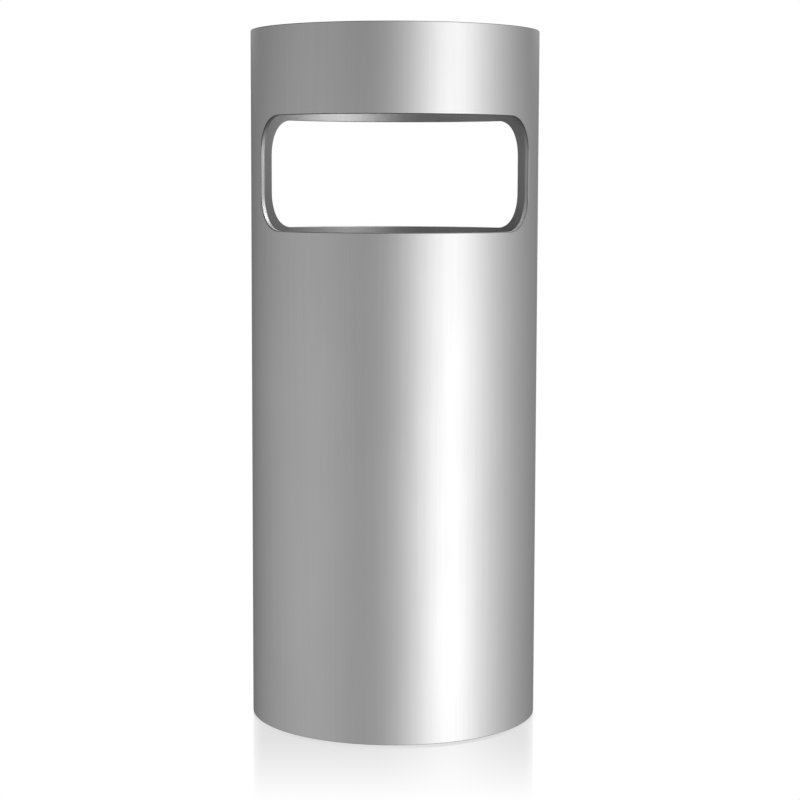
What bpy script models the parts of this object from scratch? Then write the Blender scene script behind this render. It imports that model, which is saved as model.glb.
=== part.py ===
"""Umbrella stand: an open aluminium tube with a grip window through its front and back.

A weighted base is screwed to lugs inside the tube's foot, four rubber feet carry it, and
a drip tray with a ribbed mat lies loose on top of the base.
Metres, +Z up. The origin is on the floor at the middle of the tube, and the front
window faces -Y.
"""
import math

import bmesh
import bpy

# --------------------------------------------------------------------------------------
# Driving dimensions, in metres; angles are in degrees
# --------------------------------------------------------------------------------------
GAP = 0.0003               # clearance between pieces that touch

TUBE_RADIUS = 0.105        # outside
TUBE_WALL = 0.0032
TUBE_LENGTH = 0.502
TUBE_LIFT = 0.001          # lower edge above the floor
TUBE_EDGE_BREAK = 0.0005   # chamfer along the upper and lower edges

WINDOW_ANGLE = 130.6       # width of a grip window, measured round the tube
WINDOW_HEIGHT = 0.081
WINDOW_CORNER = 0.027      # corner radius on the flat blank
RIM_BAND = 0.0625          # metal left above a window

PLATE_THICKNESS = 0.004
PLATE_EDGE_BREAK = 0.0006

FOOT_RADIUS = 0.011
FOOT_INSET = 0.005         # from the tube's inner wall to a foot
FOOT_WEB = 0.0032          # rubber between the screw head and the base plate
FOOT_ROUNDING = 0.0015
HEAD_ABOVE_FLOOR = 0.0011  # how far a foot screw's head stays off the floor

LUG_THICKNESS = 0.003
LUG_WIDTH = 0.024
LUG_DEPTH = 0.024          # length of the flat leg, towards the middle
LUG_HEIGHT = 0.022         # length of the upright leg
LUG_SCREW_INSET = 0.0125   # from the upright leg's outer face to the screw

BALLAST_THICKNESS = 0.014
BALLAST_EDGE_BREAK = 0.0015
BALLAST_CLEARANCE = 0.0025  # from the ballast's edge to the lugs

TRAY_WALL = 0.002
TRAY_HEIGHT = 0.032
TRAY_DRAFT = 0.0015        # how much narrower the tray is at its floor
TRAY_CLEARANCE = 0.0012    # from the tray's wall to the lugs
TRAY_CORNER = 0.004
FLANGE_CLEARANCE = 0.0015  # from the tray's flange to the tube
FLANGE_THICKNESS = 0.002

MAT_CLEARANCE = 0.001      # from the mat to the tray's corner
MAT_THICKNESS = 0.002
MAT_CENTRE_RADIUS = 0.012  # flat middle of the mat
RIB_HEIGHT = 0.0015
RIB_WIDTH = 0.004
RIB_PITCH = 0.011

# Each screw: shank radius, head radius, head height, socket size across its corners
LUG_SCREW = {"shank": 0.0025, "head": 0.00475, "height": 0.0028, "socket": 0.0035}
FOOT_SCREW = {"shank": 0.002, "head": 0.004, "height": 0.0024, "socket": 0.0029}
BALLAST_BOLT = {"shank": 0.004, "head": 0.007, "height": 0.0044, "socket": 0.0058}
SHANK_TIP = 0.0005         # chamfer at a shank's end
SOCKET_DEPTH_SHARE = 0.6   # of the head's height
THREAD_PROUD = 0.0015      # how far a screw stands out past the piece it is tapped into
BOLT_ENGAGEMENT = 0.009    # length of the bolt inside the ballast
BOLT_HOLE_SPARE = 0.002    # hole left beyond the bolt's end

LUG_ANGLES = (0, 90, 180, 270)
FOOT_ANGLES = (45, 135, 225, 315)

TUBE_STEPS = 96            # facets round the tube and what fits inside it
MAT_STEPS = 48
FOOT_STEPS = 24
SCREW_STEPS = 16
CORNER_STEPS = 8           # facets in a window's corner
CUTTER_REACH = 0.005       # how far a cutter runs past what it cuts

# --------------------------------------------------------------------------------------
# Sizes and heights that follow from them
# --------------------------------------------------------------------------------------
INNER_RADIUS = TUBE_RADIUS - TUBE_WALL
TUBE_TOP = TUBE_LIFT + TUBE_LENGTH
WINDOW_MIDDLE = TUBE_TOP - RIM_BAND - WINDOW_HEIGHT / 2

FOOT_SHELF = HEAD_ABOVE_FLOOR + FOOT_SCREW["height"] + GAP
FOOT_TOP = FOOT_SHELF + FOOT_WEB
FOOT_CIRCLE = INNER_RADIUS - FOOT_INSET - FOOT_RADIUS

PLATE_BOTTOM = FOOT_TOP + GAP
PLATE_TOP = PLATE_BOTTOM + PLATE_THICKNESS
PLATE_RADIUS = INNER_RADIUS - GAP

LUG_BOTTOM = PLATE_TOP + GAP
LUG_FACE = math.sqrt((INNER_RADIUS - GAP) ** 2 - (LUG_WIDTH / 2) ** 2)
LUG_SCREW_CIRCLE = LUG_FACE - LUG_SCREW_INSET

BALLAST_BOTTOM = PLATE_TOP + GAP
BALLAST_TOP = BALLAST_BOTTOM + BALLAST_THICKNESS
BALLAST_RADIUS = LUG_FACE - LUG_DEPTH - BALLAST_CLEARANCE

TRAY_BOTTOM = max(BALLAST_TOP, LUG_BOTTOM + LUG_THICKNESS) + GAP
TRAY_RADIUS = LUG_FACE - LUG_THICKNESS - TRAY_CLEARANCE
FLANGE_RADIUS = INNER_RADIUS - FLANGE_CLEARANCE

MAT_BOTTOM = TRAY_BOTTOM + TRAY_WALL + GAP
MAT_RADIUS = TRAY_RADIUS - TRAY_DRAFT - TRAY_CORNER - MAT_CLEARANCE


# --------------------------------------------------------------------------------------
# Scene, collections and materials
# --------------------------------------------------------------------------------------
def clear_scene():
    for obj in list(bpy.data.objects):
        bpy.data.objects.remove(obj, do_unlink=True)


def new_collection(name):
    collection = bpy.data.collections.new(name)
    bpy.context.scene.collection.children.link(collection)
    return collection


clear_scene()
PARTS = new_collection("umbrella_stand")
CUTTERS = new_collection("cutters")


def new_material(name, colour, roughness, metallic):
    material = bpy.data.materials.new(name)
    material.use_nodes = True
    shader = material.node_tree.nodes["Principled BSDF"]
    shader.inputs["Base Color"].default_value = (*colour, 1.0)
    shader.inputs["Roughness"].default_value = roughness
    shader.inputs["Metallic"].default_value = metallic
    return material


BRUSHED_ALUMINIUM = new_material("brushed_aluminium", (0.66, 0.66, 0.66), 0.32, 1.0)
ZINC_STEEL = new_material("zinc_steel", (0.50, 0.51, 0.53), 0.42, 1.0)
CAST_IRON = new_material("cast_iron", (0.06, 0.06, 0.065), 0.70, 0.6)
SCREW_STEEL = new_material("screw_steel", (0.62, 0.62, 0.63), 0.30, 1.0)
BLACK_RUBBER = new_material("black_rubber", (0.025, 0.025, 0.026), 0.75, 0.0)
TRAY_PLASTIC = new_material("tray_plastic", (0.05, 0.05, 0.052), 0.50, 0.0)
MAT_RUBBER = new_material("mat_rubber", (0.04, 0.04, 0.042), 0.80, 0.0)


# --------------------------------------------------------------------------------------
# Modelling helpers
# --------------------------------------------------------------------------------------
def new_object(name, mesh, collection):
    obj = bpy.data.objects.new(name, mesh)
    collection.objects.link(obj)
    if collection is CUTTERS:
        obj.hide_render = True
        obj.display_type = "WIRE"
    return obj


def turned(name, profile, steps, closed, collection=PARTS):
    """A profile of (radius, height) points turned about Z.

    The points run down the outer side. A closed profile makes a ring; an open one
    starts and ends on the axis.
    """
    mesh = bpy.data.meshes.new(name)
    vertices = [(radius, 0.0, height) for radius, height in profile]
    edges = [(i, i + 1) for i in range(len(vertices) - 1)]
    if closed:
        edges.append((len(vertices) - 1, 0))
    mesh.from_pydata(vertices, edges, [])
    obj = new_object(name, mesh, collection)
    screw = obj.modifiers.new("turn", "SCREW")
    screw.axis = "Z"
    screw.angle = math.radians(360)
    screw.steps = steps
    screw.render_steps = steps
    screw.use_merge_vertices = True
    screw.merge_threshold = 0.00001
    screw.use_smooth_shade = True
    return obj


def flat_plate(name, outline, thickness, collection):
    """A flat outline of (x, y) points, thickened evenly to both sides of z = 0."""
    curve = bpy.data.curves.new(name, "CURVE")
    curve.dimensions = "2D"
    curve.fill_mode = "BOTH"
    curve.extrude = thickness / 2
    spline = curve.splines.new("POLY")
    spline.points.add(len(outline) - 1)
    for point, (x, y) in zip(spline.points, outline):
        point.co = (x, y, 0.0, 1.0)
    spline.use_cyclic_u = True
    source = bpy.data.objects.new(name + "_outline", curve)
    collection.objects.link(source)
    graph = bpy.context.evaluated_depsgraph_get()
    mesh = bpy.data.meshes.new_from_object(source.evaluated_get(graph))
    bpy.data.objects.remove(source, do_unlink=True)
    editable = bmesh.new()
    editable.from_mesh(mesh)
    bmesh.ops.remove_doubles(editable, verts=editable.verts, dist=0.00001)
    editable.to_mesh(mesh)
    editable.free()
    mesh.name = name
    return new_object(name, mesh, collection)


def rod_cutter(name, radius, bottom, top, x=0.0, y=0.0, sides=SCREW_STEPS):
    """An upright cylinder, or a hexagon with six sides, that only cuts."""
    mesh = bpy.data.meshes.new(name)
    editable = bmesh.new()
    bmesh.ops.create_cone(
        editable,
        cap_ends=True,
        segments=sides,
        radius1=radius,
        radius2=radius,
        depth=top - bottom,
    )
    editable.to_mesh(mesh)
    editable.free()
    cutter = new_object(name, mesh, CUTTERS)
    cutter.location = (x, y, (bottom + top) / 2)
    return cutter


def cut(obj, cutter):
    boolean = obj.modifiers.new("cut_" + cutter.name, "BOOLEAN")
    boolean.operation = "DIFFERENCE"
    boolean.object = cutter


def finish(obj, material, smooth=True):
    """Apply the modifiers, give the material and shade the round faces smooth."""
    graph = bpy.context.evaluated_depsgraph_get()
    mesh = bpy.data.meshes.new_from_object(obj.evaluated_get(graph))
    obj.modifiers.clear()
    obj.data = mesh
    mesh.name = obj.name
    mesh.materials.clear()
    mesh.materials.append(material)
    if smooth:
        mesh.shade_smooth()
        mesh.set_sharp_from_angle(angle=math.radians(30))
    return obj


def on_circle(radius, degrees):
    angle = math.radians(degrees)
    return radius * math.cos(angle), radius * math.sin(angle)


def copies_on_circle(first, base_name, radius, height, angles):
    """Place a piece and its copies, which share its mesh, evenly on a circle."""
    for number, degrees in enumerate(angles, start=1):
        piece = first
        if number > 1:
            piece = new_object(f"{base_name}_{number}", first.data, PARTS)
        x, y = on_circle(radius, degrees)
        piece.location = (x, y, height)
        piece.rotation_euler = (0.0, 0.0, math.radians(degrees))


# --------------------------------------------------------------------------------------
# The tube with its two grip windows
# --------------------------------------------------------------------------------------
def rounded_rectangle(width, height, corner):
    """Outline about the origin, anticlockwise from its right-hand side."""
    points = []
    for quarter, (side_x, side_y) in enumerate(((1, 1), (-1, 1), (-1, -1), (1, -1))):
        centre_x = side_x * (width / 2 - corner)
        centre_y = side_y * (height / 2 - corner)
        for step in range(CORNER_STEPS + 1):
            angle = math.radians(90) * (quarter + step / CORNER_STEPS)
            x = centre_x + corner * math.cos(angle)
            y = centre_y + corner * math.sin(angle)
            points.append((x, y))
    return points


def roll_up(mesh, radius):
    """Bend a flat plate in the XY plane round the Z axis, its middle towards -Y.

    Its x becomes the arc length at the given radius, its y the height, and its z the
    distance outside that radius.
    """
    editable = bmesh.new()
    editable.from_mesh(mesh)
    facet = radius * math.radians(360) / TUBE_STEPS
    half_width = max(vertex.co.x for vertex in editable.verts)
    stations = int(half_width / facet)
    for station in range(-stations, stations + 1):
        everything = editable.verts[:] + editable.edges[:] + editable.faces[:]
        bmesh.ops.bisect_plane(
            editable,
            geom=everything,
            dist=0.0000001,
            plane_co=(station * facet, 0.0, 0.0),
            plane_no=(1.0, 0.0, 0.0),
        )
    for vertex in editable.verts:
        along, height, outward = vertex.co
        angle = along / radius
        reach = radius + outward
        vertex.co = (reach * math.sin(angle), -reach * math.cos(angle), height)
    bmesh.ops.recalc_face_normals(editable, faces=editable.faces)
    editable.to_mesh(mesh)
    editable.free()


def window_cutter(name, turn):
    """A rounded plug whose side faces point at the tube's axis."""
    width = math.radians(WINDOW_ANGLE) * TUBE_RADIUS
    outline = rounded_rectangle(width, WINDOW_HEIGHT, WINDOW_CORNER)
    cutter = flat_plate(name, outline, 2 * (TUBE_WALL + CUTTER_REACH), CUTTERS)
    roll_up(cutter.data, TUBE_RADIUS)
    cutter.location.z = WINDOW_MIDDLE
    cutter.rotation_euler.z = math.radians(turn)
    return cutter


def make_outer_tube():
    outer, inner, edge = TUBE_RADIUS, INNER_RADIUS, TUBE_EDGE_BREAK
    profile = [
        (outer - edge, TUBE_TOP),
        (outer, TUBE_TOP - edge),
        (outer, TUBE_LIFT + edge),
        (outer - edge, TUBE_LIFT),
        (inner + edge, TUBE_LIFT),
        (inner, TUBE_LIFT + edge),
        (inner, TUBE_TOP - edge),
        (inner + edge, TUBE_TOP),
    ]
    tube = turned("outer_tube", profile, TUBE_STEPS, closed=True)
    cut(tube, window_cutter("front_window", 0))
    cut(tube, window_cutter("back_window", 180))
    finish(tube, BRUSHED_ALUMINIUM)


# --------------------------------------------------------------------------------------
# Screws
# --------------------------------------------------------------------------------------
def make_screw(name, size, length):
    """A socket-head screw, point up, with the head's bearing face at height 0."""
    shank, head, height = size["shank"], size["head"], size["height"]
    crown = 0.7 * head
    profile = [
        (0.0, length),
        (shank - SHANK_TIP, length),
        (shank, length - SHANK_TIP),
        (shank, 0.0),
        (head, 0.0),
        (head, -height / 2),
        (crown, -height),
        (0.0, -height),
    ]
    screw = turned(name, profile, SCREW_STEPS, closed=False)
    depth = height * SOCKET_DEPTH_SHARE
    socket = rod_cutter(
        name + "_socket", size["socket"] / 2, -height - CUTTER_REACH, depth - height, sides=6
    )
    cut(screw, socket)
    return finish(screw, SCREW_STEEL)


def make_lug_screws():
    length = GAP + PLATE_THICKNESS + GAP + LUG_THICKNESS + THREAD_PROUD
    screw = make_screw("lug_screw_1", LUG_SCREW, length)
    copies_on_circle(screw, "lug_screw", LUG_SCREW_CIRCLE, PLATE_BOTTOM - GAP, LUG_ANGLES)


def make_foot_screws():
    length = GAP + FOOT_WEB + GAP + PLATE_THICKNESS + THREAD_PROUD
    screw = make_screw("foot_screw_1", FOOT_SCREW, length)
    copies_on_circle(screw, "foot_screw", FOOT_CIRCLE, FOOT_SHELF - GAP, FOOT_ANGLES)


def make_ballast_bolt():
    length = GAP + PLATE_THICKNESS + GAP + BOLT_ENGAGEMENT
    bolt = make_screw("ballast_bolt", BALLAST_BOLT, length)
    bolt.location.z = PLATE_BOTTOM - GAP


# --------------------------------------------------------------------------------------
# The base: plate, lugs, ballast and feet
# --------------------------------------------------------------------------------------
def make_base_plate():
    edge = PLATE_EDGE_BREAK
    profile = [
        (0.0, PLATE_TOP),
        (PLATE_RADIUS - edge, PLATE_TOP),
        (PLATE_RADIUS, PLATE_TOP - edge),
        (PLATE_RADIUS, PLATE_BOTTOM + edge),
        (PLATE_RADIUS - edge, PLATE_BOTTOM),
        (0.0, PLATE_BOTTOM),
    ]
    plate = turned("base_plate", profile, TUBE_STEPS, closed=False)
    bottom = PLATE_BOTTOM - CUTTER_REACH
    top = PLATE_TOP + CUTTER_REACH
    holes = [("bolt", BALLAST_BOLT, 0.0, 0)]
    holes += [(f"lug_{angle}", LUG_SCREW, LUG_SCREW_CIRCLE, angle) for angle in LUG_ANGLES]
    holes += [(f"foot_{angle}", FOOT_SCREW, FOOT_CIRCLE, angle) for angle in FOOT_ANGLES]
    for label, size, circle, angle in holes:
        x, y = on_circle(circle, angle)
        radius = size["shank"] + GAP
        cut(plate, rod_cutter("plate_hole_" + label, radius, bottom, top, x, y))
    finish(plate, ZINC_STEEL)


def make_lugs():
    """An angle bracket: the upright leg against the tube, the flat leg inwards."""
    thick, bend = LUG_THICKNESS, LUG_THICKNESS / 2
    outline = [
        (0.0, 0.0),
        (0.0, LUG_HEIGHT),
        (-thick, LUG_HEIGHT),
        (-thick, thick + bend),
        (-thick - bend, thick),
        (-LUG_DEPTH, thick),
        (-LUG_DEPTH, 0.0),
    ]
    lug = flat_plate("base_lug_1", outline, LUG_WIDTH, PARTS)
    turn_upright(lug.data)
    hole = rod_cutter(
        "lug_hole", LUG_SCREW["shank"] + GAP, -CUTTER_REACH, thick + CUTTER_REACH, x=-LUG_SCREW_INSET
    )
    cut(lug, hole)
    finish(lug, ZINC_STEEL, smooth=False)
    copies_on_circle(lug, "base_lug", LUG_FACE, LUG_BOTTOM, LUG_ANGLES)


def turn_upright(mesh):
    """Turn a plate in the XY plane so that its outline's y points up."""
    for vertex in mesh.vertices:
        x, y, z = vertex.co
        vertex.co = (x, -z, y)


def make_ballast_disc():
    edge = BALLAST_EDGE_BREAK
    profile = [
        (0.0, BALLAST_TOP),
        (BALLAST_RADIUS - edge, BALLAST_TOP),
        (BALLAST_RADIUS, BALLAST_TOP - edge),
        (BALLAST_RADIUS, BALLAST_BOTTOM + edge),
        (BALLAST_RADIUS - edge, BALLAST_BOTTOM),
        (0.0, BALLAST_BOTTOM),
    ]
    disc = turned("ballast_disc", profile, TUBE_STEPS, closed=False)
    hole_top = BALLAST_BOTTOM + BOLT_ENGAGEMENT + BOLT_HOLE_SPARE
    radius = BALLAST_BOLT["shank"] + GAP
    cut(disc, rod_cutter("ballast_hole", radius, BALLAST_BOTTOM - CUTTER_REACH, hole_top))
    finish(disc, CAST_IRON)


def make_feet():
    """A rubber ring with a recess below for the screw's head."""
    recess = FOOT_SCREW["head"] + 2 * GAP
    hole = FOOT_SCREW["shank"] + GAP
    profile = [
        (FOOT_RADIUS, FOOT_TOP),
        (FOOT_RADIUS, FOOT_ROUNDING),
        (FOOT_RADIUS - FOOT_ROUNDING, 0.0),
        (recess, 0.0),
        (recess, FOOT_SHELF),
        (hole, FOOT_SHELF),
        (hole, FOOT_TOP),
    ]
    foot = turned("rubber_foot_1", profile, FOOT_STEPS, closed=True)
    finish(foot, BLACK_RUBBER)
    copies_on_circle(foot, "rubber_foot", FOOT_CIRCLE, 0.0, FOOT_ANGLES)


# --------------------------------------------------------------------------------------
# The loose pieces: drip tray and mat
# --------------------------------------------------------------------------------------
def make_drip_tray():
    """A shallow cup with a flange, whose origin is under the middle of its floor."""
    foot = TRAY_RADIUS - TRAY_DRAFT
    wall, corner = TRAY_WALL, TRAY_CORNER
    profile = [
        (0.0, wall),
        (foot - corner, wall),
        (foot - wall, corner),
        (TRAY_RADIUS - wall, TRAY_HEIGHT),
        (FLANGE_RADIUS, TRAY_HEIGHT),
        (FLANGE_RADIUS, TRAY_HEIGHT - FLANGE_THICKNESS),
        (TRAY_RADIUS, TRAY_HEIGHT - FLANGE_THICKNESS),
        (foot, corner),
        (foot - corner, 0.0),
        (0.0, 0.0),
    ]
    tray = turned("drip_tray", profile, TUBE_STEPS, closed=False)
    finish(tray, TRAY_PLASTIC)
    tray.location.z = TRAY_BOTTOM


def make_tip_mat():
    """A disc with ring ribs that hold the umbrella tips out of the water."""
    top = MAT_THICKNESS + RIB_HEIGHT
    profile = [(0.0, top), (MAT_CENTRE_RADIUS, top), (MAT_CENTRE_RADIUS, MAT_THICKNESS)]
    start = MAT_CENTRE_RADIUS + RIB_PITCH - RIB_WIDTH
    while start + RIB_WIDTH < MAT_RADIUS - RIB_WIDTH / 2:
        end = start + RIB_WIDTH
        profile += [(start, MAT_THICKNESS), (start, top), (end, top), (end, MAT_THICKNESS)]
        start += RIB_PITCH
    profile += [(MAT_RADIUS, MAT_THICKNESS), (MAT_RADIUS, 0.0), (0.0, 0.0)]
    mat = turned("tip_mat", profile, MAT_STEPS, closed=False)
    finish(mat, MAT_RUBBER)
    mat.location.z = MAT_BOTTOM


# --------------------------------------------------------------------------------------
# Assembly
# --------------------------------------------------------------------------------------
def main():
    make_outer_tube()
    make_base_plate()
    make_lugs()
    make_lug_screws()
    make_ballast_disc()
    make_ballast_bolt()
    make_feet()
    make_foot_screws()
    make_drip_tray()
    make_tip_mat()


main()
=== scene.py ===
"""Looks of the umbrella stand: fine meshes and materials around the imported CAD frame.

Metres, +Z up, front window towards -Y, floor at z = 0. Every mesh is made in its final
place, so its object stays at the origin and Object coordinates are the stand's own.
"""
import math

import bmesh
import bpy
from mathutils import Matrix, Vector


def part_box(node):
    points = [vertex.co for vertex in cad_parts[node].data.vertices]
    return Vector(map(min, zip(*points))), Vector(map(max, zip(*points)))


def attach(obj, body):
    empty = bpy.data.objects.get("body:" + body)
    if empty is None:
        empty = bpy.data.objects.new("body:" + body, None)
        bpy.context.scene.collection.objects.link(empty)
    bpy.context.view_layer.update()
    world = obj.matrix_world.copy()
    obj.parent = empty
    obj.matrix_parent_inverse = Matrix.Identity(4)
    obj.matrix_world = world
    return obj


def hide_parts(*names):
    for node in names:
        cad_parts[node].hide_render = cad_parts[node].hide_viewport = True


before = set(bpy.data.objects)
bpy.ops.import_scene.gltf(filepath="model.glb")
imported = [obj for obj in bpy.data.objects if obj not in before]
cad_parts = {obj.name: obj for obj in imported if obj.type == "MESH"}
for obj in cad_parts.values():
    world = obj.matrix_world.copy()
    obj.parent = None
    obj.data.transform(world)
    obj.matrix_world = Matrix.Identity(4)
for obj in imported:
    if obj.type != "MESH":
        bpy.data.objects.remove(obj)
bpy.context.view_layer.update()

# --------------------------------------------------------------------------------------
# Sizes that the frame doesn't give, in metres and degrees
# --------------------------------------------------------------------------------------
TUBE_WALL = 0.0032
WINDOW_ANGLE = 130.6       # width of a grip window, measured round the tube
WINDOW_HEIGHT = 0.081
WINDOW_CORNER = 0.027
RIM_BAND = 0.0625          # metal left above a window
TUBE_ROUNDING = 0.0005     # of the tube's cut edges
SKIN_DEPTH = 0.00008       # the brushed skin's material fades in up to here below the surface

LUG_THICKNESS = 0.003
LUG_BEND = 0.0015          # inner bend radius
LUG_CORNER = 0.003
LUG_ROUNDING = 0.0003
LUG_SCREW_INSET = 0.0125   # from the upright leg's outer face to the screw
WELD_RADIUS = 0.0014
WELD_END = 0.002           # bare metal below and above a weld
WELD_BESIDE = 0.0003       # from a lug's side to the middle of its weld
WELD_INSIDE = 0.0008       # from the tube's face to the middle of a weld

PLATE_ROUNDING = 0.0005
BALLAST_ROUNDING = 0.002
BALLAST_HOLE_SPARE = 0.002  # of the hole beyond the bolt's tip

TRAY_WALL = 0.002
TRAY_DRAFT = 0.0015
TRAY_CORNER = 0.004
TRAY_GAP = 0.0012          # from the lugs to the tray's wall, at its rim
FLANGE_THICKNESS = 0.002
FLANGE_ROUNDING = 0.0009
FLANGE_BEND = 0.0008       # radius where the wall turns into the flange

MAT_THICKNESS = 0.002      # without its ribs
MAT_CENTRE_RADIUS = 0.012
RIB_WIDTH = 0.004
RIB_PITCH = 0.011
RIB_ROUNDING = 0.0006
RIB_FOOT_ROUNDING = 0.0004

# Each screw: shank and head radius, head height, socket across its corners, thread pitch
LUG_SCREW = {"shank": 0.0025, "head": 0.00475, "height": 0.0028, "socket": 0.0035, "pitch": 0.0008}
FOOT_SCREW = {"shank": 0.002, "head": 0.004, "height": 0.0024, "socket": 0.0029, "pitch": 0.0007}
BALLAST_BOLT = {"shank": 0.004, "head": 0.007, "height": 0.0044, "socket": 0.0058, "pitch": 0.00125}
HOLE_SPARE = 0.0003        # from a shank to its hole
FOOT_WEB = 0.0032          # rubber between the screw head and the base plate

LUG_ANGLES = (0, 90, 180, 270)
FOOT_ANGLES = (45, 135, 225, 315)

CAMERA_DISTANCE = 1.498    # from the tube's axis
CAMERA_HEIGHT = 0.3958
CAMERA_PITCH = 5.69        # downwards
CAMERA_YAW = 0.165         # to the right
CAMERA_ROLL = 0.166        # clockwise in the picture
CAMERA_LENS = 91.47        # millimetres, on a 36 mm sensor
CAMERA_SHIFT = -0.0222     # upright, in sensor widths

# --------------------------------------------------------------------------------------
# Sizes read from the frame
# --------------------------------------------------------------------------------------
tube_low, tube_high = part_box("outer_tube")
plate_low, plate_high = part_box("base_plate")
disc_low, disc_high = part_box("ballast_disc")
lug_low, lug_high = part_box("base_lug_1")
foot_low, foot_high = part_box("rubber_foot_1")
tray_low, tray_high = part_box("drip_tray")
mat_low, mat_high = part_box("tip_mat")
lug_screw_low, lug_screw_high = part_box("lug_screw_1")
foot_screw_low, foot_screw_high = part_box("foot_screw_1")
bolt_low, bolt_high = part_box("ballast_bolt")

TUBE_RADIUS = tube_high.x
INNER_RADIUS = TUBE_RADIUS - TUBE_WALL
WINDOW_TOP = tube_high.z - RIM_BAND
WINDOW_BOTTOM = WINDOW_TOP - WINDOW_HEIGHT
LUG_SCREW_CIRCLE = lug_high.x - LUG_SCREW_INSET
FOOT_CENTRE = (foot_low + foot_high) / 2
FOOT_CIRCLE = math.hypot(FOOT_CENTRE.x, FOOT_CENTRE.y)
FOOT_RADIUS = (foot_high.x - foot_low.x) / 2


# --------------------------------------------------------------------------------------
# Building a material
# --------------------------------------------------------------------------------------
class Surface:
    """A node material in the making; its methods add nodes and return their outputs."""

    def __init__(self, name, colour, roughness, metallic=0.0):
        self.material = bpy.data.materials.new(name)
        self.material.use_nodes = True
        self.tree = self.material.node_tree
        self.shader = self.tree.nodes["Principled BSDF"]
        self.shader.inputs["Base Color"].default_value = (*colour, 1.0)
        self.shader.inputs["Roughness"].default_value = roughness
        self.shader.inputs["Metallic"].default_value = metallic
        self.place = self.add("ShaderNodeTexCoord").outputs["Object"]
        split = self.add("ShaderNodeSeparateXYZ")
        self.link(self.place, split.inputs[0])
        self.x, self.y, self.z = split.outputs
        self.radius = self.math("SQRT", self.math("ADD", self.square(self.x), self.square(self.y)))

    def add(self, kind):
        return self.tree.nodes.new(kind)

    def link(self, value, socket):
        """Put a node's output, or a plain number or tuple, on a socket."""
        if isinstance(value, bpy.types.NodeSocket):
            self.tree.links.new(value, socket)
        else:
            socket.default_value = value

    def math(self, operation, first, second=0.0):
        node = self.add("ShaderNodeMath")
        node.operation = operation
        self.link(first, node.inputs[0])
        self.link(second, node.inputs[1])
        return node.outputs[0]

    def square(self, value):
        return self.math("MULTIPLY", value, value)

    def noise(self, size, stretch=(1.0, 1.0, 1.0), detail=2.0, rough=0.5):
        """Noise from 0 to 1 whose lumps are about size metres, times stretch along each axis."""
        mapping = self.add("ShaderNodeMapping")
        self.link(self.place, mapping.inputs["Vector"])
        mapping.inputs["Scale"].default_value = [1.0 / (size * factor) for factor in stretch]
        noise = self.add("ShaderNodeTexNoise")
        self.link(mapping.outputs[0], noise.inputs["Vector"])
        noise.inputs["Scale"].default_value = 1.0
        noise.inputs["Detail"].default_value = detail
        noise.inputs["Roughness"].default_value = rough
        return noise.outputs[0]

    def cells(self, size, smooth=0.5):
        """Rounded cells, 0 at their middles, about size metres across."""
        mapping = self.add("ShaderNodeMapping")
        self.link(self.place, mapping.inputs["Vector"])
        mapping.inputs["Scale"].default_value = [1.0 / size] * 3
        cells = self.add("ShaderNodeTexVoronoi")
        cells.feature = "SMOOTH_F1"
        cells.inputs["Smoothness"].default_value = smooth
        cells.inputs["Scale"].default_value = 1.0
        self.link(mapping.outputs[0], cells.inputs["Vector"])
        return cells.outputs["Distance"]

    def spread(self, value, low, high, new_low=0.0, new_high=1.0):
        """value from low..high, stretched to new_low..new_high and held there outside."""
        node = self.add("ShaderNodeMapRange")
        for socket, number in zip(node.inputs, (value, low, high, new_low, new_high)):
            self.link(number, socket)
        return node.outputs[0]

    def edges(self, low=0.51, high=0.56):
        """1 on sharp outer edges, from the mesh's own shape."""
        return self.spread(self.add("ShaderNodeNewGeometry").outputs["Pointiness"], low, high)

    def upright(self):
        """1 where the smooth normal is level, 0 on all other faces."""
        split = self.add("ShaderNodeSeparateXYZ")
        self.link(self.add("ShaderNodeNewGeometry").outputs["Normal"], split.inputs[0])
        return self.spread(self.math("ABSOLUTE", split.outputs[2]), 0.05, 0.15, 1.0, 0.0)

    def mix(self, factor, first, second):
        node = self.add("ShaderNodeMix")
        node.data_type = "RGBA"
        self.link(factor, node.inputs["Factor"])
        for colour, socket in zip((first, second), (node.inputs[6], node.inputs[7])):
            if isinstance(colour, tuple):
                colour = (*colour, 1.0)
            self.link(colour, socket)
        return node.outputs[2]

    def bump(self, height, depth, strength=1.0, normal=None):
        node = self.add("ShaderNodeBump")
        node.inputs["Distance"].default_value = depth
        node.inputs["Strength"].default_value = strength
        self.link(height, node.inputs["Height"])
        if normal is not None:
            self.link(normal, node.inputs["Normal"])
        return node.outputs[0]

    def finish(self, colour=None, roughness=None, normal=None):
        for value, socket in ((colour, "Base Color"), (roughness, "Roughness"), (normal, "Normal")):
            if value is not None:
                self.link(value, self.shader.inputs[socket])
        return self.material


# --------------------------------------------------------------------------------------
# Materials
# --------------------------------------------------------------------------------------
def brushed_tone(metal):
    """Fine and coarse brushing along the tube's axis, with faint clouds; mostly 0.35 to 0.75."""
    hairs = metal.noise(0.00035, (1.0, 1.0, 120.0), 3.0, 0.6)
    strands = metal.noise(0.0016, (1.0, 1.0, 90.0), 2.0)
    clouds = metal.noise(0.05, (1.0, 1.0, 2.0), 2.0)
    tone = metal.math("ADD", metal.math("MULTIPLY", hairs, 0.3), metal.math("MULTIPLY", strands, 0.35))
    tone = metal.math("ADD", tone, metal.math("MULTIPLY", clouds, 0.45))
    normal = metal.bump(hairs, 0.000004)
    return tone, metal.bump(strands, 0.000006, 1.0, normal)


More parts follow.
